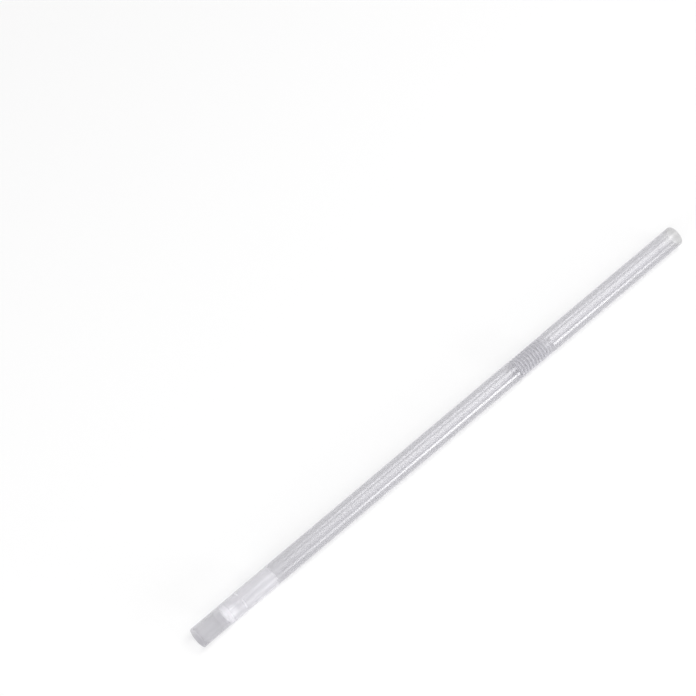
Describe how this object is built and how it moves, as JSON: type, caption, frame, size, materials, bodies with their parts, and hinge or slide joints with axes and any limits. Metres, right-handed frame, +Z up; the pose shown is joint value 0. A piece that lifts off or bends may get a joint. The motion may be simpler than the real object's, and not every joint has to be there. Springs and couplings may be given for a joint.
{
  "type": "flexible drinking straw",
  "caption": "Clear plastic flexible drinking straw with a corrugated bending section and a ball check valve set inside its intake end",
  "frame": {"origin": "under the middle of the straw's length, on the surface that it lies on; the tube's axis is 3.25 mm above it", "axes": "+X towards the drinking end, +Y across the straw, +Z up from the surface that the straw lies on"},
  "size_m": [0.197, 0.0064, 0.0065],
  "materials": {
    "straw_tube": "clear polypropylene, thin extruded wall with a slight grey haze and a gloss surface",
    "valve_body": "natural white moulded plastic, translucent",
    "valve_ball": "white plastic ball, smooth"
  },
  "bodies": {
    "root": {"straw_tube": "straw_tube", "valve_body": "valve_body", "valve_ball": "valve_ball"}
  },
  "joints": []
}
